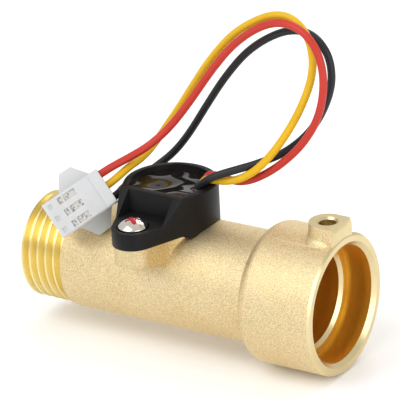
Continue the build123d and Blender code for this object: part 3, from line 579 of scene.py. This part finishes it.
tin, tin_shader, tin_place = finish_of("tinned_phosphor_bronze", 1.0, 0.25)
smear = add(tin, "ShaderNodeTexNoise", {"Vector": tin_place, "Scale": per_mm(0.5), "Detail": 3.0})
# Dark grey patches in the tin are painted shade, standing for the shadows in the contacts' folds.
painted_fold_shade = add(tin, "ShaderNodeMapRange", {"Value": smear.outputs["Fac"], "From Min": 0.52, "From Max": 0.7})
tin_colour = add(tin, "ShaderNodeMix",
                 {"Factor": painted_fold_shade.outputs["Result"], "A": linear("#F8F7F2"), "B": linear("#7E7A70")},
                 data_type="RGBA")
tin_rough = add(tin, "ShaderNodeMapRange", {"Value": smear.outputs["Fac"], "To Min": 0.12, "To Max": 0.35})
feed(tin, tin_shader, tin_colour, tin_rough)
for number in (1, 2, 3):
    dress(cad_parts[f"contact_{number}"], tin)


# The small board in the resin carries the magnetic switch, a capacitor and a resistor. The board has a green
# solder mask, the switch a dull moulded package, the capacitor a fired skin and the resistor a glazed one.
def small_part(name, roughness, ior, grain, detail, light, deep):
    """The plain skin of a small part, with grains of that many millimetres."""
    finish, shader, place = finish_of(name, 0.0, roughness, IOR=ior)
    feed(finish, shader, mottle(finish, place, grain, detail, light, deep)[1])
    return finish


board = {
    "circuit_board": small_part("solder_mask_on_glass_epoxy", 0.3, 1.5, 1.2, 3.0, "#14562F", "#0E4324"),
    "hall_sensor": small_part("moulded_switch_package", 0.5, 1.55, 0.3, 2.0, "#1E1E1F", "#2A2A2B"),
    "capacitor": small_part("fired_ceramic", 0.45, 1.6, 0.25, 2.0, "#C9A878", "#B49160"),
    "resistor": small_part("glazed_resistor_body", 0.18, 1.52, 0.4, 2.0, "#161617", "#222224"),
}
for node, finish in board.items():
    dress(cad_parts[node], finish)


# The turbine insert in the bore: the guide and the bracket are natural acetal, the rotor is dark acetal with
# a ferrite ring magnet, and it turns on a ground steel pin in two plastic bushes. A spring ring holds it all.
def moulding(name, light, dark, roughness):
    """A moulded plastic: an even colour with slow flow marks and a fine satin skin."""
    finish, shader, place = finish_of(name, 0.0, roughness, IOR=1.48)
    colour = mottle(finish, place, 4, 3.0, light, dark)[1]
    fine = add(finish, "ShaderNodeTexNoise", {"Vector": place, "Scale": per_mm(0.4), "Detail": 2.0})
    relief = add(finish, "ShaderNodeBump",
                 {"Height": fine.outputs["Fac"], "Strength": 0.15, "Distance": 0.00004})
    feed(finish, shader, colour, relief=relief)
    return finish


def bare_metal(name, light, dark, roughness):
    """A bare metal with faint rubbed streaks."""
    finish, shader, place = finish_of(name, 1.0, roughness)
    streaks, colour = mottle(finish, place, 0.9, 4.0, light, dark)
    worn = add(finish, "ShaderNodeMapRange",
               {"Value": streaks.outputs["Fac"], "To Min": roughness * 0.7, "To Max": roughness * 1.4})
    feed(finish, shader, colour, worn)
    return finish


acetal = moulding("natural_acetal", "#E4E3DC", "#D6D4CB", 0.35)
dark_acetal = moulding("dark_acetal", "#38393B", "#2C2D2F", 0.4)
bearing = moulding("bearing_plastic", "#8A6B45", "#7A5C38", 0.45)
ferrite = moulding("sintered_ferrite", "#3A3A3D", "#2A2A2C", 0.6)
ground = bare_metal("ground_stainless", "#D4D4D2", "#BEBEBB", 0.16)
spring = bare_metal("spring_stainless", "#B4B4B1", "#8F8F8C", 0.3)
insert = {
    "inlet_guide": acetal, "outlet_bracket": acetal, "impeller": dark_acetal, "rotor_magnet": ferrite,
    "front_bush": bearing, "rear_bush": bearing, "rotor_shaft": ground, "retaining_ring": spring,
}
for node, finish in insert.items():
    dress(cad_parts[node], finish)


# The studio: a plain pale sheet that runs under the object, a large soft light above the camera's left,
# smaller ones on the right and behind, and an even pale surrounding.
paper, paper_shader, paper_place = finish_of("pale_studio_paper", 0.0, 0.9)
feed(paper, paper_shader, mottle(paper, paper_place, 16.667, 3.0, "#FEFEFE", "#FBFBFB")[1])
bpy.ops.mesh.primitive_plane_add(size=6, location=(0.03, 0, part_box("brass_body")[0].z - 0.0002))
floor = bpy.context.object
floor.name = "studio_floor"
dress(floor, paper)


def soft_light(name, place, aim, size, power):
    """A square soft light that points at the object."""
    lamp = bpy.data.lights.new(name, "AREA")
    lamp.size = size
    lamp.energy = power
    holder = bpy.data.objects.new(name, lamp)
    bpy.context.scene.collection.objects.link(holder)
    holder.location = place
    holder.rotation_euler = (Vector(aim) - Vector(place)).to_track_quat("-Z", "Y").to_euler()


centre = (0.033, 0, 0.01)
soft_light("key_light", (-0.25, -0.7, 0.8), centre, 0.9, 6.2)
soft_light("fill_light", (0.8, -0.3, 0.3), centre, 0.6, 2.5)
soft_light("back_light", (0.0, 0.75, 0.7), centre, 0.6, 2.5)
surround = bpy.data.worlds.new("studio")
surround.use_nodes = True
surround.node_tree.nodes["Background"].inputs["Color"].default_value = (1, 1, 1, 1)
surround.node_tree.nodes["Background"].inputs["Strength"].default_value = 0.75
bpy.context.scene.world = surround
bpy.context.scene.view_settings.view_transform = "Standard"
